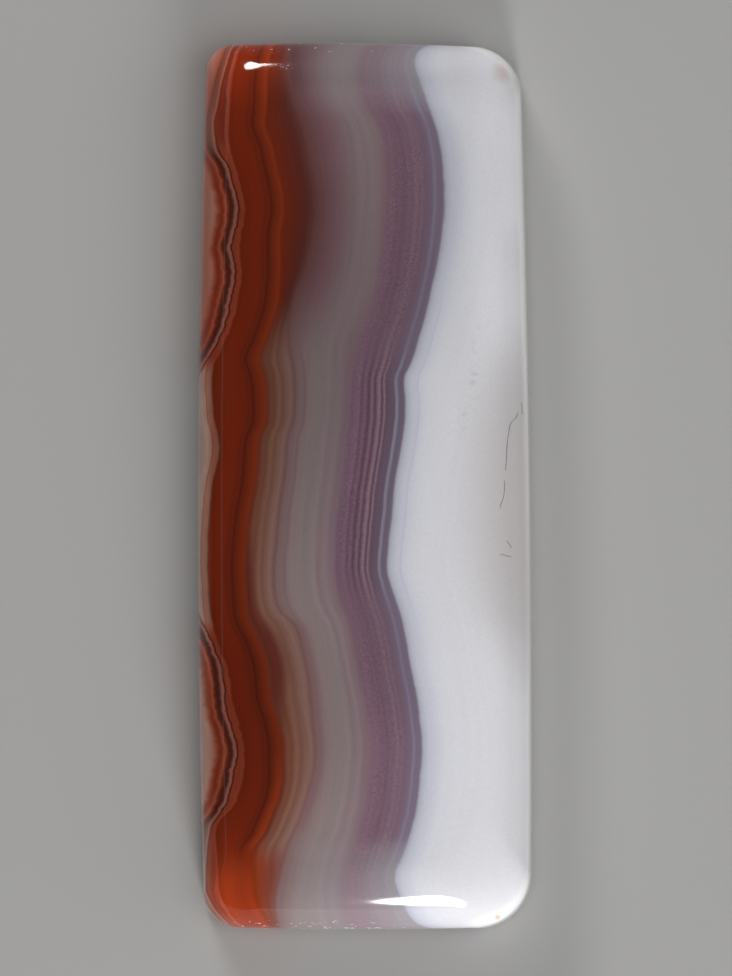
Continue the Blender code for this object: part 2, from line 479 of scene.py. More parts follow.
GLASS = (
    (20.0, 8.00), (12.0, 7.60), (8.4, 6.60), (5.7, 5.20), (3.9, 4.50), (1.7, 4.05), (-0.6, 3.95),
    (-2.4, 4.00), (-5.0, 4.40), (-7.0, 5.30), (-9.5, 6.40), (-14.0, 7.60), (-20.0, 8.00),
)

# The layers lean as they go down into the stone, from upright at the left wall to this much
# across for each millimetre down at the right. Round the two left corners they bend with the
# edge, by this much at the top end and at the bottom end.
LAYER_LEAN = 0.68
TOP_BEND = 0.32
BOTTOM_BEND = 0.42

# The layers aren't quite even. They sway more the deeper they lie, by this much for each
# millimetre down. They ripple everywhere and shiver in fine steps, most of all in the two lobes
# of the left wall, by these sizes in millimetres.
SWAY = 0.9
RIPPLE = 0.10
SHIVER_AT_WALL = 0.22
SHIVER_ELSEWHERE = 0.035

# The whole pattern sits this far, in millimetres, to one side of the stone's middle, and is
# drawn for a stone this much larger.
PATTERN_SHIFT = (-0.067, 0.045, 0.0)
PATTERN_SCALE = 1.0045

# No front is drawn further than this from the middle, in millimetres.
FRONT_REACH = 8.0


def growth_fronts():
    """Distances across the stone, in millimetres, from a point to each front of the growth.

    It also gives how far along the stone the point lies, how far it is below the crown, and its
    place in the stone in millimetres.
    """
    names = ("Rim", "Thread", "Ember", "Haze", "Plum", "Milk", "Glass", "Along", "Drop")
    tree, given, out = new_group(
        "growth fronts",
        [("Place", "NodeSocketVector")],
        [(name, "NodeSocketFloat") for name in names] + [("Inside", "NodeSocketVector")],
    )
    in_mm = tree.nodes.new("ShaderNodeVectorMath")
    in_mm.operation = "MULTIPLY_ADD"
    feed(tree, in_mm.inputs[0], given["Place"])
    in_mm.inputs[1].default_value = (PATTERN_SCALE / MM,) * 3
    in_mm.inputs[2].default_value = PATTERN_SHIFT
    inside = in_mm.outputs[0]
    x, y, z = axes(tree, inside)

    dome = reckon(tree, "MULTIPLY_ADD", reckon(tree, "MULTIPLY", x, x),
                  -0.5 * MM / CROWN_RADIUS_ACROSS, THICKNESS / MM)
    dome = reckon(tree, "MULTIPLY_ADD", reckon(tree, "MULTIPLY", y, y),
                  -0.5 * MM / CROWN_RADIUS_ALONG, dome)
    drop = reckon(tree, "SUBTRACT", dome, z)

    past_wall = climb(tree, x, -5.0, 1.0)
    lean = reckon(tree, "MULTIPLY", past_wall, LAYER_LEAN)
    across = reckon(tree, "SUBTRACT", x, reckon(tree, "MULTIPLY", lean, drop))
    bend = reckon(tree, "ADD",
                  climb(tree, y, -18.0, -19.8, 0.0, BOTTOM_BEND),
                  climb(tree, y, 17.6, 19.4, 0.0, TOP_BEND))
    bend = reckon(tree, "MULTIPLY", bend, climb(tree, x, -5.5, -3.0, 1.0, 0.0))
    across = reckon(tree, "SUBTRACT", across, reckon(tree, "MULTIPLY", bend, drop))
    sway = reckon(tree, "MULTIPLY", unrest(tree, inside, 0.16, 1.0), drop)
    sway = reckon(tree, "MULTIPLY", sway, past_wall)
    across = reckon(tree, "MULTIPLY_ADD", sway, SWAY, across)
    # The ripple and the shiver are drawn out across the stone and down into it.
    flowing = vector_of(tree,
                        reckon(tree, "MULTIPLY", x, 0.35), y, reckon(tree, "MULTIPLY", z, 0.5))
    ripple = unrest(tree, flowing, 0.9, 2.0, 0.55)
    across = reckon(tree, "MULTIPLY_ADD", ripple, RIPPLE, across)
    shiver = unrest(tree, flowing, 3.0, 2.0, 0.6)
    shiver_size = climb(tree, x, -5.6, -4.6, SHIVER_AT_WALL, SHIVER_ELSEWHERE)
    in_lobes = reckon(tree, "ADD",
                      stretch_of(tree, y, 5.8, 14.8, 0.8),
                      stretch_of(tree, y, -15.0, -6.3, 0.8))
    shiver_size = reckon(tree, "MULTIPLY", shiver_size,
                         reckon(tree, "MULTIPLY_ADD", in_lobes, 0.75, 0.25))
    across = reckon(tree, "MULTIPLY_ADD", shiver, shiver_size, across)

    for name, front in zip(names, (RIM, THREAD, EMBER, HAZE, PLUM, MILK, GLASS)):
        place = drawn(tree, y, front, -FRONT_REACH, FRONT_REACH)
        feed(tree, out[name], reckon(tree, "SUBTRACT", across, place))
    feed(tree, out["Along"], y)
    feed(tree, out["Drop"], drop)
    feed(tree, out["Inside"], inside)
    return tree


# How fast a fine layer changes along the stone, against one across it.
LAYER_DRIFT = 0.11


def fine_layers():
    """Faint hair-thin layers, brighter and darker, that run along the growth fronts."""
    tree, given, out = new_group(
        "fine layers",
        [("Distance", "NodeSocketFloat"), ("Along", "NodeSocketFloat"), ("Per mm", "NodeSocketFloat")],
        [("Shade", "NodeSocketFloat")],
    )
    stacked = reckon(tree, "MULTIPLY", given["Distance"], given["Per mm"])
    drift = reckon(tree, "MULTIPLY", given["Along"], LAYER_DRIFT)
    feed(tree, out["Shade"], cloud(tree, vector_of(tree, stacked, drift, 3.7), 1.0, 2.0, 0.65))
    return tree


fronts_group = growth_fronts()
layers_group = fine_layers()

agate = bpy.data.materials.new("banded_agate")
agate.use_nodes = True
tree = agate.node_tree
surface = tree.nodes["Principled BSDF"]

coordinates = tree.nodes.new("ShaderNodeTexCoord")
fronts = tree.nodes.new("ShaderNodeGroup")
fronts.node_tree = fronts_group
feed(tree, fronts.inputs["Place"], coordinates.outputs["Object"])
front = fronts.outputs
along = front["Along"]
inside = front["Inside"]
across_here, _, height_here = axes(tree, inside)


def layering(distance, per_mm):
    """The shade of the fine layers, from about -0.5 to 0.5."""
    node = tree.nodes.new("ShaderNodeGroup")
    node.node_tree = layers_group
    feed(tree, node.inputs["Distance"], distance)
    feed(tree, node.inputs["Along"], along)
    feed(tree, node.inputs["Per mm"], per_mm)
    return reckon(tree, "SUBTRACT", node.outputs["Shade"], 0.5)


def scaled(colour, gain):
    """Makes a colour brighter or darker by a gain around one."""
    return stain(tree, 1.0, colour, vector_of(tree, gain, gain, gain), "MULTIPLY")


def dim(colour, shade, strength):
    """Makes a colour brighter or darker by a shade around zero."""
    return scaled(colour, reckon(tree, "MULTIPLY_ADD", shade, strength, 1.0))


def share_of(*shares):
    """The product of several shares."""
    product = shares[0]
    for share in shares[1:]:
        product = reckon(tree, "MULTIPLY", product, share)
    return product


def touch(colour, mask, strength, tint):
    """Lays a tint over a colour where the mask is, up to a strength from 0 to 1."""
    return stain(tree, reckon(tree, "MULTIPLY", mask, strength), colour, tint)


# The lace at the left wall: thin maroon, pink and near-black layers, read from the thread
# front. It is full in the two lobes and only brushed with pink between and beyond them.
in_lobes = reckon(tree, "ADD",
                  stretch_of(tree, along, 5.5, 15.3, 0.5),
                  stretch_of(tree, along, -15.1, -6.1, 0.5))
lace = bands(tree, front["Thread"], (
    (-2.60, pigment(118, 84, 75)),
    (-1.60, pigment(126, 92, 84)),
    (-1.25, pigment(126, 86, 75)),
    (-1.07, pigment(131, 88, 76)),
    (-0.98, pigment(129, 82, 70)),
    (-0.89, pigment(122, 66, 50)),
    (-0.80, pigment(108, 50, 36)),
    (-0.70, pigment(100, 36, 21)),
    (-0.62, pigment(104, 39, 23)),
    (-0.55, pigment(112, 47, 32)),
    (-0.48, pigment(126, 62, 45)),
    (-0.42, pigment(108, 46, 31)),
    (-0.36, pigment(86, 32, 19)),
    (-0.28, pigment(62, 26, 17)),
    (-0.19, pigment(56, 26, 19)),
    (-0.12, pigment(80, 42, 34)),
    (-0.07, pigment(114, 66, 57)),
    (0.0, pigment(118, 68, 58)),
    (0.035, pigment(108, 56, 46)),
    (0.075, pigment(52, 20, 15)),
    (0.105, pigment(60, 23, 16)),
    (0.17, pigment(108, 48, 33)),
))
blush = bands(tree, front["Thread"], (
    (-0.75, pigment(112, 82, 73)),
    (-0.60, pigment(114, 76, 65)),
    (-0.46, pigment(116, 68, 55)),
    (-0.37, pigment(106, 60, 48)),
    (-0.29, pigment(88, 48, 38)),
    (-0.19, pigment(92, 57, 48)),
    (-0.08, pigment(96, 62, 53)),
    (0.0, pigment(122, 80, 70)),
    (0.045, pigment(112, 62, 50)),
    (0.09, pigment(80, 34, 24)),
    (0.17, pigment(100, 40, 26)),
))
lace = stain(tree, in_lobes, blush, lace)
lace = stain(tree, climb(tree, along, 15.3, 16.5), lace, (1.18, 0.92, 0.80, 1.0), "MULTIPLY")

# The red-brown layer between the thread and the rim. Between the lobes it carries two dark
# wavy lines, and above them one pale line.
brick = bands(tree, front["Rim"], (
    (-0.45, pigment(104, 47, 33)),
    (-0.28, pigment(108, 43, 27)),
    (-0.20, pigment(105, 42, 26)),
    (-0.08, pigment(110, 46, 29)),
    (-0.03, pigment(98, 38, 21)),
    (0.04, pigment(88, 30, 15)),
))
waist = bands(tree, front["Rim"], (
    (-0.80, pigment(115, 84, 76)),
    (-0.66, pigment(118, 88, 79)),
    (-0.56, pigment(122, 92, 82)),
    (-0.47, pigment(124, 87, 75)),
    (-0.39, pigment(123, 84, 72)),
    (-0.345, pigment(96, 57, 45)),
    (-0.30, pigment(118, 69, 55)),
    (-0.20, pigment(116, 67, 53)),
    (-0.11, pigment(108, 68, 55)),
    (-0.05, pigment(84, 51, 38)),
    (0.0, pigment(80, 31, 16)),
    (0.05, pigment(91, 33, 16)),
))
crest = bands(tree, front["Rim"], (
    (-0.75, pigment(104, 44, 31)),
    (-0.50, pigment(101, 38, 23)),
    (-0.38, pigment(104, 38, 22)),
    (-0.29, pigment(86, 33, 23)),
    (-0.22, pigment(92, 37, 26)),
    (-0.17, pigment(108, 51, 37)),
    (-0.10, pigment(104, 43, 28)),
    (-0.03, pigment(98, 36, 20)),
    (0.05, pigment(100, 32, 13)),
))
brick = stain(tree, stretch_of(tree, along, -6.3, 5.5, 0.4), brick, waist)
brick = stain(tree, climb(tree, along, 15.2, 15.9), brick, crest)
brick = dim(brick, unrest(tree, inside, 1.1, 1.0), 0.35)
colour = stain(tree, climb(tree, front["Thread"], 0.10, 0.19), lace, brick)

# The red layer, deepest where iron is thickest, with its dark line and its glowing right edge.
red = bands(tree, front["Ember"], (
    (-1.80, pigment(90, 29, 12)),
    (-1.35, pigment(94, 28, 11)),
    (-0.92, pigment(93, 29, 12)),
    (-0.76, pigment(84, 27, 13)),
    (-0.68, pigment(88, 28, 13)),
    (-0.60, pigment(80, 26, 13)),
    (-0.54, pigment(70, 22, 11)),
    (-0.49, pigment(80, 27, 13)),
    (-0.32, pigment(91, 31, 14)),
    (-0.14, pigment(101, 35, 15)),
    (-0.03, pigment(106, 38, 17)),
    (0.10, pigment(97, 35, 18)),
))
red = touch(red, climb(tree, along, -15.8, -17.0), 0.85, pigment(94, 31, 13))
red = dim(red, layering(front["Ember"], 7.0), 0.18)
red = dim(red, climb(tree, front["Rim"], 0.0, 0.35, -0.10, 0.0), 1.0)
colour = stain(tree, climb(tree, front["Rim"], -0.04, 0.04), colour, red)

# Over the rounded ends the colour is painted brighter and the red more orange, as painted light for
# the light that fills the thinner stone there.
# This painted light is weaker in the lace, and the ember edge is painted brighter once more low down.
painted_end_light = drawn(tree, along, (
    (20.0, 2.4), (19.2, 2.3), (18.7, 2.15), (18.2, 1.95), (17.8, 1.76), (17.4, 1.56), (16.6, 1.31),
    (14.5, 1.19), (10.0, 1.10), (5.0, 1.07), (2.0, 1.08), (-2.0, 1.05), (-6.0, 0.98),
    (-9.0, 0.94), (-12.0, 1.02), (-14.5, 1.16), (-16.0, 1.40), (-17.2, 1.98), (-18.0, 2.35),
    (-20.0, 2.5),
), 0.0, 3.0)
to_rim = reckon(tree, "ADD", front["Rim"], climb(tree, along, 14.0, 17.0, 0.0, 0.12))
past_rim = climb(tree, to_rim, -0.30, 0.02, 0.35, 1.0)
colour = scaled(colour, reckon(tree, "MULTIPLY_ADD", past_rim,
                               reckon(tree, "SUBTRACT", painted_end_light, 1.0), 1.0))
low_ember_light = share_of(climb(tree, front["Ember"], -0.60, -0.15), climb(tree, along, -11.6, -13.6))
colour = dim(colour, reckon(tree, "MULTIPLY", low_ember_light, climb(tree, along, -16.6, -15.6)), 0.30)

# Between the ember edge and the haze front: a smoky red-black cloud in the upper half, and
# tan and brown stripes below it. How far across this stretch a point lies goes from 0 to 1.
gap = reckon(tree, "SUBTRACT", front["Ember"], front["Haze"])
stretch = reckon(tree, "DIVIDE", front["Ember"], gap)
smoke = bands(tree, stretch, (
    (0.0, pigment(95, 32, 15)),
    (0.20, pigment(88, 31, 17)),
    (0.45, pigment(79, 31, 22)),
    (0.68, pigment(74, 34, 28)),
    (0.88, pigment(77, 42, 38)),
    (1.05, pigment(84, 53, 50)),
    (1.25, pigment(90, 62, 60)),
))
tan = bands(tree, stretch, (
    (0.0, pigment(98, 39, 22)),
    (0.08, pigment(90, 43, 30)),
    (0.20, pigment(94, 55, 42)),
    (0.32, pigment(90, 55, 45)),
    (0.46, pigment(101, 70, 57)),
    (0.58, pigment(94, 62, 53)),
    (0.70, pigment(100, 72, 63)),
    (0.82, pigment(105, 79, 71)),
    (0.90, pigment(101, 75, 69)),
    (0.96, pigment(95, 68, 66)),
    (1.05, pigment(101, 78, 75)),
))
foot = bands(tree, stretch, (
    (0.0, pigment(124, 45, 17)),
    (0.30, pigment(108, 47, 28)),
    (0.65, pigment(99, 50, 40)),
    (0.90, pigment(101, 61, 57)),
    (1.10, pigment(104, 71, 68)),
))
in_upper_half = climb(tree, along, 5.4, 8.8)
warm = stain(tree, in_upper_half, tan, smoke)
maroon_far = drawn(tree, along, (
    (20.0, 0.30), (-4.0, 0.28), (-6.0, 0.34), (-7.7, 0.46), (-9.5, 0.34), (-20.0, 0.30),
), 0.0, 1.0)
maroon_strip = share_of(
    climb(tree, stretch, 0.02, 0.14),
    climb(tree, reckon(tree, "SUBTRACT", stretch, maroon_far), -0.20, 0.22, 1.0, 0.0),
    stretch_of(tree, along, -10.2, -2.8, 1.2),
)
warm = touch(warm, maroon_strip, 0.85, pigment(72, 28, 22))
at_foot = climb(tree, along, -15.6, -17.2)
warm = stain(tree, at_foot, warm, foot)
warm = dim(warm, layering(front["Ember"], 5.0), 0.24)
# Painted light: the smoky stripes are painted brighter towards the top end, over the rounded shoulder.
warm = scaled(warm, climb(tree, along, 17.3, 18.9, 1.0, 1.75))
colour = stain(tree, climb(tree, front["Ember"], -0.08, 0.14), colour, warm)

# The grey chalcedony, from the haze front to the plum front.
width = reckon(tree, "SUBTRACT", front["Haze"], front["Plum"])
reach = reckon(tree, "DIVIDE", front["Haze"], width)
grey_above = bands(tree, reach, (
    (-0.10, pigment(80, 47, 45)),
    (0.05, pigment(86, 56, 56)),
    (0.18, pigment(91, 64, 67)),
    (0.32, pigment(97, 72, 76)),
    (0.50, pigment(102, 84, 88)),
    (0.68, pigment(108, 93, 95)),
    (0.88, pigment(109, 95, 97)),
    (1.0, pigment(107, 88, 93)),
))
grey_below = bands(tree, reach, (
    (-0.10, pigment(99, 75, 71)),
    (-0.02, pigment(97, 72, 71)),
    (0.04, pigment(101, 80, 78)),
    (0.12, pigment(103, 84, 84)),
    (0.24, pigment(107, 92, 91)),
    (0.36, pigment(108, 95, 94)),
    (0.56, pigment(107, 95, 95)),
    (0.63, pigment(111, 98, 99)),
    (0.72, pigment(105, 90, 93)),
    (0.83, pigment(109, 94, 97)),
    (0.90, pigment(105, 88, 93)),
    (1.0, pigment(103, 83, 91)),
))
grey = stain(tree, climb(tree, along, 5.0, 9.5), grey_below, grey_above)
grey = dim(grey, layering(front["Plum"], 4.5), 0.20)
grey = dim(grey, layering(front["Haze"], 8.0), 0.09)
lined = stretch_of(tree, along, -5.4, 6.2, 0.9)
haze_line = reckon(tree, "MULTIPLY", hairline(tree, front["Haze"], -0.02, 0.12), 0.50)
second_line = reckon(tree, "MULTIPLY", hairline(tree, front["Haze"], 0.42, 0.13), 0.34)
lines = reckon(tree, "MULTIPLY", reckon(tree, "MAXIMUM", haze_line, second_line), lined)
mauve = share_of(
    stretch_of(tree, front["Haze"], -0.05, 0.30, 0.22),
    stretch_of(tree, along, -15.2, -6.4, 0.9),
)
grey = touch(grey, mauve, 0.60, pigment(100, 73, 76))
edge_low = reckon(tree, "MULTIPLY_ADD", in_upper_half, -0.22, 0.95)
edge_high = reckon(tree, "MULTIPLY_ADD", in_upper_half, 0.20, 1.05)
colour = stain(tree, climb(tree, stretch, edge_low, edge_high), colour, grey)
colour = stain(tree, lines, colour, pigment(92, 64, 71))

# The grey and the tan are clearer and paler towards the bottom end, and both ends are painted brighter
# over the rounded shoulder as painted light.
paler_and_end_light = drawn(tree, along, (
    (20.0, 1.32), (17.0, 1.28), (14.0, 1.16), (9.0, 1.02), (4.0, 1.05), (2.0, 1.10), (-1.5, 1.24),
    (-5.0, 1.37), (-9.0, 1.36), (-11.0, 1.40), (-13.0, 1.50), (-15.8, 1.64), (-17.0, 1.54),
    (-18.0, 1.44), (-20.0, 1.40),
), 0.0, 2.0)
paler_and_end_light_here = reckon(tree, "MULTIPLY", climb(tree, front["Ember"], 0.0, 0.35),
                    reckon(tree, "SUBTRACT", paler_and_end_light, 1.0))
colour = dim(colour, paler_and_end_light_here, 1.0)
# A painted reflection: over both ends a pale grey is laid on the grey, and on the plum further down,
# as the shoulder mirrors the board.
painted_end_reflection = drawn(tree, along, (
    (20.0, 1.0), (19.3, 0.80), (18.8, 0.80), (18.2, 0.70), (17.6, 0.45), (17.0, 0.20), (16.2, 0.0),
    (-15.2, 0.0), (-16.0, 0.35), (-16.7, 0.70), (-17.5, 0.90), (-20.0, 1.0),
), 0.0, 1.0)
painted_reflection_colour = pigment(152, 147, 150)
grey_painted_reflection = share_of(painted_end_reflection, climb(tree, reach, 0.0, 0.7))
colour = touch(colour, grey_painted_reflection, 0.34, painted_reflection_colour)

# The plum layer: grainy, ruled with fine light and dark lines, and closed on its right by a
# blue-grey line and a purple-grey strip.
ply = reckon(tree, "SUBTRACT", front["Plum"], front["Milk"])
plum_share = reckon(tree, "DIVIDE", front["Plum"], ply)
ruled = bands(tree, plum_share, (
    (0.0, pigment(105, 86, 92)),
    (0.05, pigment(100, 79, 88)),
    (0.12, pigment(102, 77, 93)),
    (0.19, pigment(106, 82, 96)),
    (0.235, pigment(92, 67, 81)),
    (0.30, pigment(104, 79, 92)),
    (0.36, pigment(83, 58, 71)),
    (0.42, pigment(111, 88, 100)),
    (0.475, pigment(82, 59, 71)),
    (0.545, pigment(120, 98, 110)),
    (0.595, pigment(81, 59, 72)),
    (0.635, pigment(117, 95, 107)),
    (0.665, pigment(89, 70, 83)),
    (0.78, pigment(91, 75, 88)),
    (0.815, pigment(95, 81, 94)),
    (0.838, pigment(120, 115, 130)),
    (0.872, pigment(112, 105, 119)),
    (0.895, pigment(97, 86, 99)),
    (0.97, pigment(99, 88, 101)),
    (1.0, pigment(120, 113, 126)),
))
soft_plum = bands(tree, plum_share, (
    (0.0, pigment(106, 87, 93)),
    (0.10, pigment(105, 81, 91)),
    (0.35, pigment(99, 76, 88)),
    (0.55, pigment(105, 83, 95)),
    (0.72, pigment(102, 81, 94)),
    (0.80, pigment(102, 87, 103)),
    (0.84, pigment(108, 97, 114)),
    (0.90, pigment(103, 90, 105)),
    (0.97, pigment(105, 92, 107)),
    (1.0, pigment(120, 113, 126)),
))
ruling = stretch_of(tree, along, -4.4, 5.6, 1.3)
plum = stain(tree, reckon(tree, "MULTIPLY_ADD", ruling, 0.85, 0.15), soft_plum, ruled)
plum = dim(plum, layering(front["Plum"], 9.0), 0.22)
# Painted light: the plum is painted brighter along the stone, most of all over the rounded ends.
plum_light_gain = drawn(tree, along, (
    (20.0, 1.42), (17.0, 1.22), (13.0, 1.09), (8.0, 1.01), (4.0, 1.06), (2.0, 1.10), (-2.0, 1.13),
    (-6.0, 1.15), (-8.5, 1.17), (-10.0, 1.24), (-12.0, 1.37), (-15.0, 1.42), (-18.0, 1.50),
    (-20.0, 1.6),
), 0.0, 2.0)
plum = scaled(plum, plum_light_gain)

grain_patches = climb(tree, cloud(tree, inside, 0.45, 2.0), 0.30, 0.62, 0.35, 1.0)
grainy = reckon(tree, "MULTIPLY", grain_patches, stretch_of(tree, plum_share, 0.05, 0.70, 0.08))
grain = reckon(tree, "MULTIPLY", unrest(tree, inside, 11.0, 3.0, 0.75), grainy)
plum = dim(plum, grain, 1.25)
# The same painted reflection lies over the plum at both ends.
plum_painted_reflection = share_of(painted_end_reflection, reckon(tree, "MULTIPLY_ADD", plum_share, 0.6, 0.25))
plum = stain(tree, plum_painted_reflection, plum, painted_reflection_colour)
colour = stain(tree, climb(tree, front["Plum"], -0.12, 0.14), colour, plum)

# The milky layer, lilac where it starts and clearing to a glassy pinkish grey at the far side.
milk = bands(tree, front["Milk"], (
    (-0.06, pigment(112, 103, 116)),
    (0.0, pigment(140, 137, 150)),
    (0.06, pigment(160, 159, 172)),
    (0.15, pigment(171, 171, 182)),
    (0.33, pigment(181, 182, 192)),
    (0.55, pigment(187, 188, 198)),
    (0.75, pigment(193, 193, 202)),
    (1.0, pigment(199, 199, 206)),
    (1.5, pigment(203, 203, 208)),
    (3.2, pigment(206, 205, 209)),
))
milk = dim(milk, layering(front["Milk"], 3.0), 0.06)
lilac_line = reckon(tree, "MULTIPLY", hairline(tree, front["Milk"], 0.60, 0.08),
                    stretch_of(tree, along, -5.5, 8.4, 1.2))
milk = touch(milk, lilac_line, 0.55, pigment(176, 175, 194))
# Painted light: the milk is painted darker in its upper half and brighter in its lower half.
milk_light_gain = drawn(tree, along, (
    (20.0, 1.01), (17.5, 0.95), (15.0, 0.88), (9.0, 0.91), (4.0, 0.98), (0.0, 1.0), (-5.0, 1.03),
    (-9.0, 1.08), (-14.0, 1.09), (-20.0, 1.06),
), 0.0, 2.0)
milk = scaled(milk, milk_light_gain)
clear_grey = dim(pigment(185, 180, 180), layering(front["Glass"], 2.2), 0.07)
milk = touch(milk, climb(tree, front["Glass"], -0.5, 2.3), 0.92, clear_grey)


def spot(across_mm, along_mm, radius):
    """One in the middle of a soft round spot, and nothing past its radius."""
    aside = tree.nodes.new("ShaderNodeVectorMath")
    aside.operation = "DISTANCE"
    feed(tree, aside.inputs[0], vector_of(tree, across_here, along, 0.0))
    aside.inputs[1].default_value = (across_mm, along_mm, 0.0)
    return climb(tree, aside.outputs["Value"], 0.0, radius, 1.0, 0.0)


def hair_crack(start, end, width):
    """One along a straight crack between two (across, along) points in millimetres."""
    run = (end[0] - start[0], end[1] - start[1])
    length = math.hypot(*run)
    off_x = reckon(tree, "SUBTRACT", across_here, start[0])
    off_y = reckon(tree, "SUBTRACT", along, start[1])
    share = reckon(tree, "MULTIPLY_ADD", off_x, run[0] / length**2,
                   reckon(tree, "MULTIPLY", off_y, run[1] / length**2))
    share = reckon(tree, "MINIMUM", reckon(tree, "MAXIMUM", share, 0.0), 1.0)
    off_x = reckon(tree, "MULTIPLY_ADD", share, -run[0], off_x)
    off_y = reckon(tree, "MULTIPLY_ADD", share, -run[1], off_y)
    squared = reckon(tree, "MULTIPLY_ADD", off_x, off_x, reckon(tree, "MULTIPLY", off_y, off_y))
    return climb(tree, reckon(tree, "SQRT", squared), 0.0, width, 1.0, 0.0)


# Flaws in the milk: faint grey smudges, two rust stains and hair-thin brown cracks.
smudges = share_of(
    climb(tree, cloud(tree, inside, 2.4, 1.0), 0.56, 0.70),
    stretch_of(tree, along, 2.6, 7.4, 0.5),
    hairline(tree, reckon(tree, "MULTIPLY_ADD", along, -0.20, across_here), 3.88, 0.60),
)
milk = touch(milk, smudges, 0.30, pigment(160, 158, 156))
milk = touch(milk, spot(6.20, 18.7, 0.75), 0.42, pigment(168, 138, 116))
milk = touch(milk, spot(5.94, -19.39, 0.22), 0.8, pigment(205, 150, 105))
crack_course = drawn(tree, along, (
    (20.0, 6.82), (3.32, 6.82), (2.85, 6.49), (2.34, 6.40), (1.77, 6.33), (1.21, 6.31),
    (0.86, 6.28), (0.22, 6.22), (-0.14, 6.22), (-0.43, 6.18), (-0.66, 6.10), (-0.91, 6.03),
    (-20.0, 6.03),
), 0.0, 8.0)
crack_width = reckon(tree, "MULTIPLY_ADD", cloud(tree, inside, 3.0, 1.0), 0.07, 0.005)
off_crack = reckon(tree, "ABSOLUTE", reckon(tree, "SUBTRACT", across_here, crack_course))
crack = share_of(
    climb(tree, off_crack, 0.0, crack_width, 1.0, 0.0),
    stretch_of(tree, along, -0.92, 3.35, 0.12),
)
gap_in_crack = stretch_of(tree, along, 0.30, 0.78, 0.06)
crack = reckon(tree, "MULTIPLY", crack, reckon(tree, "SUBTRACT", 1.0, gap_in_crack))
SIDE_CRACKS = (
    ((7.01, 3.79), (7.04, 3.30)),
    ((6.34, -2.41), (6.54, -2.69)),
    ((6.05, -3.0), (6.51, -3.12)),
)
SIDE_CRACK_WIDTH = 0.034
for start, end in SIDE_CRACKS:
    crack = reckon(tree, "MAXIMUM", crack, hair_crack(start, end, SIDE_CRACK_WIDTH))
milk = touch(milk, crack, 0.75, pigment(112, 78, 72))
colour = stain(tree, climb(tree, front["Milk"], -0.04, 0.02), colour, milk)

# A fine quartz grain runs through all of it.
colour = dim(colour, unrest(tree, inside, 9.0, 3.0, 0.75), 0.20)

# The long edges are painted brighter where they turn down, as painted light for the light that seeps
# out of the thin edges.
# At the far left edge this painted light is tinted redder in the upper part of the stone and cooler
# below it.
painted_edge_light = reckon(tree, "MULTIPLY",
                   climb(tree, across_here, -5.2, -6.5, 1.0, 1.32),
                   climb(tree, across_here, -6.55, -7.25, 1.0, 1.33))
far_side = share_of(climb(tree, across_here, 4.0, 5.5), climb(tree, front["Drop"], 1.1, 2.0))
far_side = reckon(tree, "MULTIPLY", far_side, climb(tree, along, -8.0, 2.0, 0.30, 0.60))
painted_edge_light = reckon(tree, "MULTIPLY", painted_edge_light, reckon(tree, "ADD", far_side, 1.0))
upper_right = share_of(climb(tree, across_here, 3.8, 6.2), climb(tree, along, 4.0, 9.0))
upper_edge = share_of(climb(tree, across_here, 5.6, 7.0), stretch_of(tree, along, 11.5, 16.5, 1.2))
upper_right = reckon(tree, "ADD", upper_right, upper_edge)
painted_edge_light = reckon(tree, "MULTIPLY", painted_edge_light,
                   reckon(tree, "MULTIPLY_ADD", upper_right, 0.21, 1.0))
colour = scaled(colour, painted_edge_light)
PAINTED_RED_EDGE_LIGHT = (0.90, 0.62, 0.52, 1.0)
PAINTED_COOL_EDGE_LIGHT = (1.20, 1.45, 1.50, 1.0)
left_edge_light_tint = stain(tree, climb(tree, along, 6.5, 4.0), PAINTED_RED_EDGE_LIGHT, PAINTED_COOL_EDGE_LIGHT)
left_edge = climb(tree, across_here, -6.85, -7.2)
colour = stain(tree, left_edge, colour, left_edge_light_tint, "MULTIPLY")

# The finish. A few specks of dust are sealed in. Tiny pits lie along both ends, more of them at the
# bottom one, and at one place of the left edge; they are roughened and painted near white as painted
# glints. The polish is worn at one place of the upper shoulder, and the pale specks of light it
# catches there are painted in as a painted highlight.
flecks = tree.nodes.new("ShaderNodeTexVoronoi")
feed(tree, flecks.inputs["Vector"], inside)
flecks.inputs["Scale"].default_value = 0.75
fleck = share_of(
    climb(tree, flecks.outputs["Distance"], 0.010, 0.026, 1.0, 0.0),
    climb(tree, axes(tree, flecks.outputs["Color"])[0], 0.45, 0.50),
    climb(tree, front["Milk"], 0.0, -0.2),
)
colour = touch(colour, fleck, 0.30, pigment(150, 125, 110))

pitted_ends = reckon(tree, "MAXIMUM",
                     share_of(stretch_of(tree, along, -20.3, -19.50, 0.10),
                              stretch_of(tree, across_here, -5.7, 1.8, 0.5)),
                     share_of(stretch_of(tree, along, 19.62, 20.3, 0.10),
                              stretch_of(tree, across_here, -6.0, 0.4, 0.4)))
pitted_side = share_of(stretch_of(tree, across_here, -7.8, -7.34, 0.04),
                       stretch_of(tree, along, 11.2, 12.7, 0.2))
drawn_out = vector_of(tree, reckon(tree, "MULTIPLY", across_here, 0.55),
                      reckon(tree, "MULTIPLY", along, 1.5), height_here)
pit_depth = reckon(tree, "MULTIPLY_ADD", climb(tree, along, -1.0, 1.0), -0.035,
                   cloud(tree, drawn_out, 4.5, 3.0, 0.7))
pitted = reckon(tree, "MAXIMUM", pitted_ends, pitted_side)
pits_and_painted_glints = share_of(climb(tree, pit_depth, 0.62, 0.66), pitted)
colour = touch(colour, pits_and_painted_glints, 0.9, pigment(250, 236, 218))
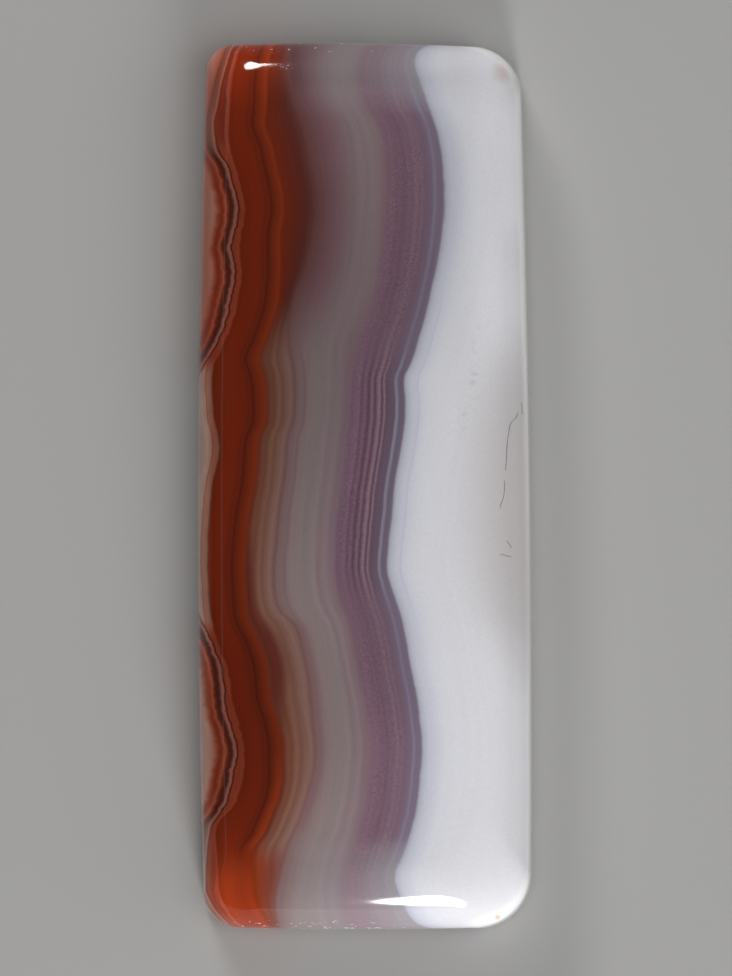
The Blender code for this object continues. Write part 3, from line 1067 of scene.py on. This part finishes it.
# Painted highlight: pale specks for the lamp's reflection breaking up on the worn polish.
worn_polish_painted_highlight = share_of(
    stretch_of(tree, across_here, -4.35, -3.40, 0.35),
    stretch_of(tree, along, 18.82, 19.02, 0.10),
    climb(tree, cloud(tree, inside, 9.0, 2.0, 0.6), 0.56, 0.68),
)
colour = touch(colour, worn_polish_painted_highlight, 0.55, pigment(236, 208, 202))

# The crown has the faint ripple of a felt polish, and the back is only lapped, so it stays half
# matt and finely scratched.
POLISHED = 0.07
LAPPED = 0.42
lapped = climb(tree, height_here, 0.30, 0.12)
dulled = reckon(tree, "MAXIMUM", lapped, pits_and_painted_glints)
feed(tree, surface.inputs["Roughness"],
     reckon(tree, "MULTIPLY_ADD", dulled, LAPPED - POLISHED, POLISHED))

FELT_RIPPLE = 0.0022
LAP_SCRATCH = 0.014
ripple = reckon(tree, "MULTIPLY", cloud(tree, inside, 0.8, 2.0), FELT_RIPPLE)
scratches = reckon(tree, "MULTIPLY_ADD", cloud(tree, inside, 14.0, 3.0),
                   LAP_SCRATCH, -LAP_SCRATCH / 2)
relief = reckon(tree, "MULTIPLY_ADD", scratches, lapped, ripple)
bump = tree.nodes.new("ShaderNodeBump")
bump.inputs["Distance"].default_value = MM
feed(tree, bump.inputs["Height"], relief)
feed(tree, surface.inputs["Normal"], bump.outputs["Normal"])

# No part of the stone sends back more light than falls on it.
BRIGHTEST = 0.96
capped = tree.nodes.new("ShaderNodeVectorMath")
capped.operation = "MINIMUM"
feed(tree, capped.inputs[0], colour)
capped.inputs[1].default_value = (BRIGHTEST, BRIGHTEST, BRIGHTEST)
feed(tree, surface.inputs["Base Color"], capped.outputs[0])

STONE_IOR = 1.54
surface.inputs["Metallic"].default_value = 0.0
surface.inputs["IOR"].default_value = STONE_IOR

stone.data.materials.append(agate)
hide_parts("agate_cabochon")
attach(stone, "root")


# The floor and the studio light.
# A plain pale board under two lamps low beyond the ends, a wide soft panel overhead, a soft fill
# on the right and a thin strip on the left, as for photographing a polished stone from above.
FLOOR_SIZE = 1.6
FLOOR_SHADE = (0.445, 0.44, 0.43, 1.0)
FLOOR_ROUGHNESS = 0.9
FLOOR_SPECULAR = 0.1

board_mesh = bpy.data.meshes.new("pale_board")
half = FLOOR_SIZE / 2
board_mesh.from_pydata(
    [(-half, -half, 0), (half, -half, 0), (half, half, 0), (-half, half, 0)], [], [(0, 1, 2, 3)]
)
board = bpy.data.objects.new("pale_board", board_mesh)
bpy.context.scene.collection.objects.link(board)
board_paint = bpy.data.materials.new("pale_board_paint")
board_paint.use_nodes = True
board_surface = board_paint.node_tree.nodes["Principled BSDF"]
board_surface.inputs["Base Color"].default_value = FLOOR_SHADE
board_surface.inputs["Roughness"].default_value = FLOOR_ROUGHNESS
board_surface.inputs["Specular IOR Level"].default_value = FLOOR_SPECULAR
board_mesh.materials.append(board_paint)


def lamp(name, azimuth, elevation, distance, half_angles, radiance, roll=0.0, in_gloss=True):
    """An oval panel that faces the stone. Angles are in degrees, azimuth anticlockwise from +X.

    Seen from the stone, half_angles are half its width and half its height. A panel that isn't
    in_gloss lights the stone but isn't mirrored in it.
    """
    turn = math.radians(azimuth)
    lift = math.radians(elevation)
    half_width, half_height = half_angles
    panel = bpy.data.lights.new(name, "AREA")
    panel.shape = "ELLIPSE"
    panel.size = 2 * distance * math.tan(math.radians(half_width))
    panel.size_y = 2 * distance * math.tan(math.radians(half_height))
    area = math.pi / 4 * panel.size * panel.size_y
    panel.energy = radiance * math.pi * area
    holder = bpy.data.objects.new(name, panel)
    holder.location = (
        distance * math.cos(lift) * math.cos(turn),
        distance * math.cos(lift) * math.sin(turn),
        distance * math.sin(lift) + THICKNESS,
    )
    swing = Matrix.Rotation(turn + math.pi / 2, 3, "Z")
    tilt = Matrix.Rotation(math.pi / 2 - lift, 3, "X")
    spin = Matrix.Rotation(math.radians(roll), 3, "Z")
    holder.rotation_euler = (swing @ tilt @ spin).to_euler()
    holder.visible_glossy = in_gloss
    bpy.context.scene.collection.objects.link(holder)


lamp("lamp_below", azimuth=-80.6, elevation=16.0, distance=0.42,
     half_angles=(8.2, 10.3), radiance=32.5)
lamp("lamp_above", azimuth=109.4, elevation=22.0, distance=0.50,
     half_angles=(14.0, 5.9), radiance=20.0, roll=38.5)
lamp("panel_overhead", azimuth=-40.0, elevation=77.0, distance=0.60,
     half_angles=(25.0, 25.0), radiance=1.52, in_gloss=False)
lamp("fill_right", azimuth=0.0, elevation=25.0, distance=0.60,
     half_angles=(30.0, 30.0), radiance=0.50, in_gloss=False)
lamp("strip_left", azimuth=180.0, elevation=17.0, distance=0.50,
     half_angles=(30.0, 1.4), radiance=0.30)

# A card on the board around the red edge and the top end, shaded from pale to black away from
# the stone, keeps the board's glare out of the polish. Only the gloss sees it.
CARD_NEAR = 9.0 * MM
CARD_TOP = 21.5 * MM
CARD_FAR = 500 * MM
CARD_BOTTOM = -30 * MM
CARD_RIGHT = 60 * MM
CARD_LIFT = 0.04 * MM
card_mesh = bpy.data.meshes.new("dark_card")
card_mesh.from_pydata(
    [(x, y, CARD_LIFT) for x, y in (
        (-CARD_FAR, CARD_BOTTOM), (-CARD_NEAR, CARD_BOTTOM), (-CARD_NEAR, CARD_TOP),
        (CARD_RIGHT, CARD_TOP), (CARD_RIGHT, CARD_FAR), (-CARD_FAR, CARD_FAR),
    )], [], [(0, 1, 2, 3, 4, 5)]
)
card = bpy.data.objects.new("dark_card", card_mesh)
bpy.context.scene.collection.objects.link(card)
card_paint = bpy.data.materials.new("dark_card_paint")
card_paint.use_nodes = True
card_tree = card_paint.node_tree
card_place = card_tree.nodes.new("ShaderNodeTexCoord").outputs["Object"]
card_x, card_y, _ = axes(card_tree, card_place)
past_left = reckon(card_tree, "MULTIPLY_ADD", card_x, -1.0 / MM, -0.5 * WIDTH / MM)
past_top = reckon(card_tree, "MULTIPLY_ADD", card_y, 1.0 / MM, -0.5 * LENGTH / MM)
card_reach = reckon(card_tree, "MAXIMUM", past_left, past_top)
card_shade = bands(card_tree, card_reach, (
    (1.4, (0.34, 0.34, 0.33, 1.0)),
    (3.4, (0.25, 0.25, 0.245, 1.0)),
    (7.4, (0.16, 0.16, 0.155, 1.0)),
    (14.5, (0.09, 0.09, 0.088, 1.0)),
    (32.5, (0.04, 0.04, 0.04, 1.0)),
    (72.5, (0.01, 0.01, 0.01, 1.0)),
))
card_surface = card_tree.nodes["Principled BSDF"]
feed(card_tree, card_surface.inputs["Base Color"], card_shade)
card_surface.inputs["Roughness"].default_value = 1.0
card_surface.inputs["Specular IOR Level"].default_value = 0.0
card_mesh.materials.append(card_paint)
card.visible_camera = False
card.visible_diffuse = False
card.visible_transmission = False
card.visible_shadow = False

# The room around the board is dim and slightly cool.
ROOM_COLOUR = (0.9, 0.95, 1.0, 1.0)
ROOM_STRENGTH = 0.05
world = bpy.data.worlds.new("dim_room")
world.use_nodes = True
room = world.node_tree.nodes["Background"]
room.inputs["Color"].default_value = ROOM_COLOUR
room.inputs["Strength"].default_value = ROOM_STRENGTH
bpy.context.scene.world = world
bpy.context.scene.view_settings.view_transform = "Standard"

# The camera looks straight down on the crown, with the red bands on the left. The stone's
# length fills its share of the picture's height at a level just above the board.
IMAGE_HEIGHT = 976
STONE_HEIGHT_IN_IMAGE = 888
OFF_CENTRE = 0.068 * MM
CAMERA_DISTANCE = 0.52
FRAMED_LEVEL = 1.0 * MM
SENSOR = 36.0

camera_data = bpy.data.cameras.new("camera_above")
camera_data.sensor_fit = "VERTICAL"
camera_data.sensor_height = SENSOR
camera_data.lens = SENSOR * CAMERA_DISTANCE / (LENGTH * IMAGE_HEIGHT / STONE_HEIGHT_IN_IMAGE)
camera_data.dof.use_dof = False
camera = bpy.data.objects.new("camera_above", camera_data)
camera.location = (OFF_CENTRE, -OFF_CENTRE, CAMERA_DISTANCE + FRAMED_LEVEL)
bpy.context.scene.collection.objects.link(camera)
bpy.context.scene.camera = camera
